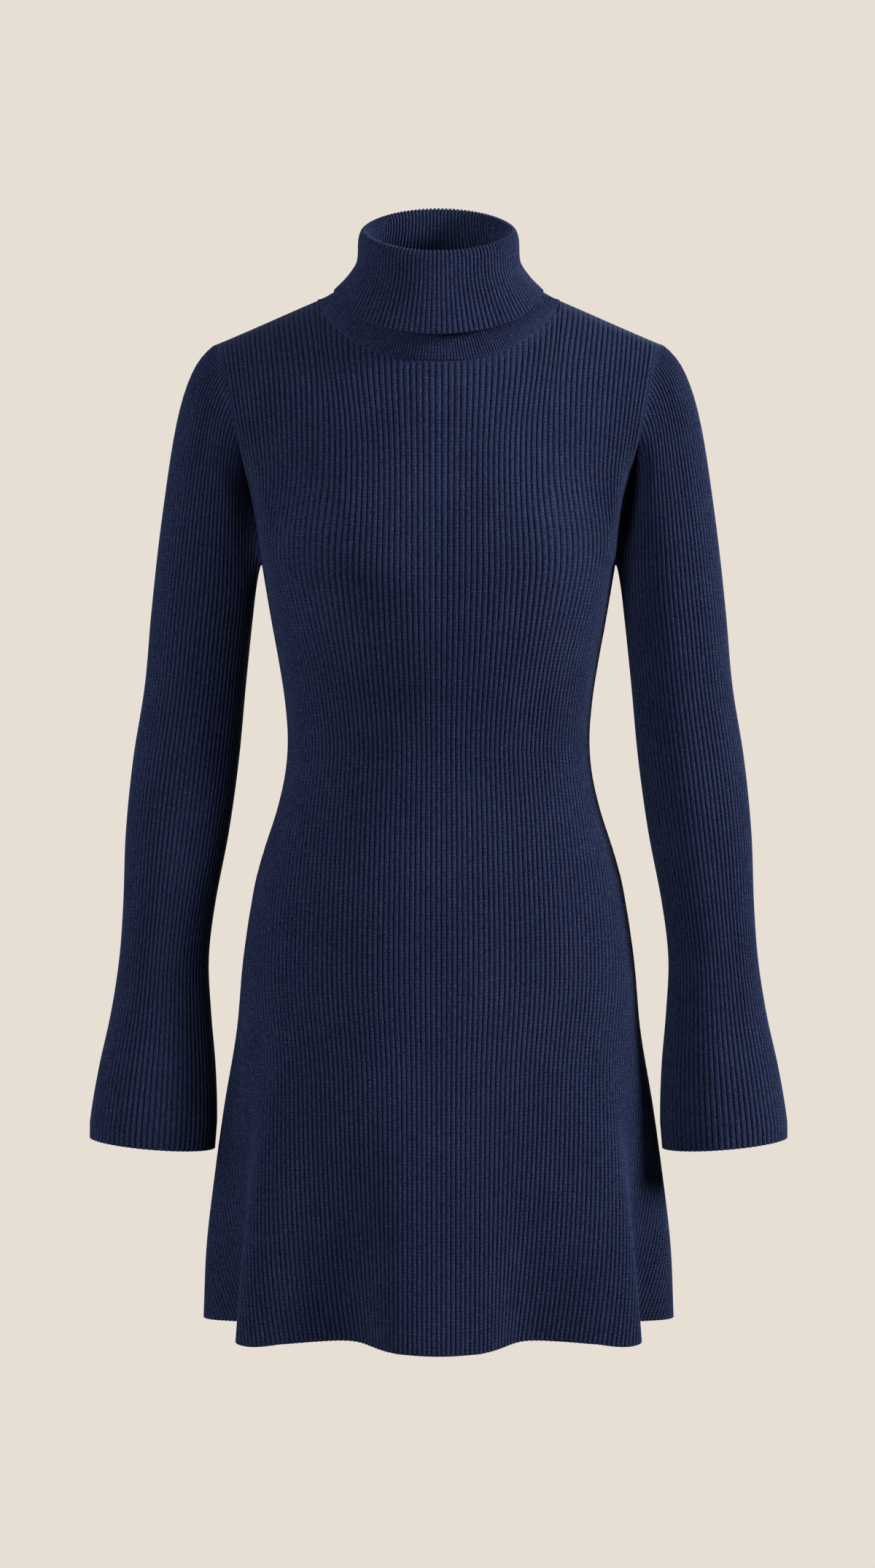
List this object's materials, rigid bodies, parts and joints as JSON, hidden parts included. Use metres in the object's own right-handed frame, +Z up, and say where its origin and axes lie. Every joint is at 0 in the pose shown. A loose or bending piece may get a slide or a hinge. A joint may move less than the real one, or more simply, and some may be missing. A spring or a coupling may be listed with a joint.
{
  "type": "sweater dress",
  "caption": "Short rib-knit sweater dress with a folded turtleneck, long sleeves that bell at the cuffs, a fitted waist and a softly flared skirt, filled out as worn.",
  "frame": {"origin": "the mount shoulders: the point between the two shoulders, level with where the neck meets them, on the side seams' plane", "axes": "+Z up along the centre line towards the neck, the front faces -Y, and the wearer's left sleeve is on +X"},
  "size_m": [0.5716, 0.2961, 0.91],
  "materials": {
    "rib_knit": "soft heathered navy rib knit, matt with a faint nap"
  },
  "bodies": {
    "root": {"front_panel": "rib_knit", "back_panel": "rib_knit", "left_sleeve": "rib_knit", "right_sleeve": "rib_knit", "turtleneck_collar": "rib_knit"}
  },
  "joints": []
}
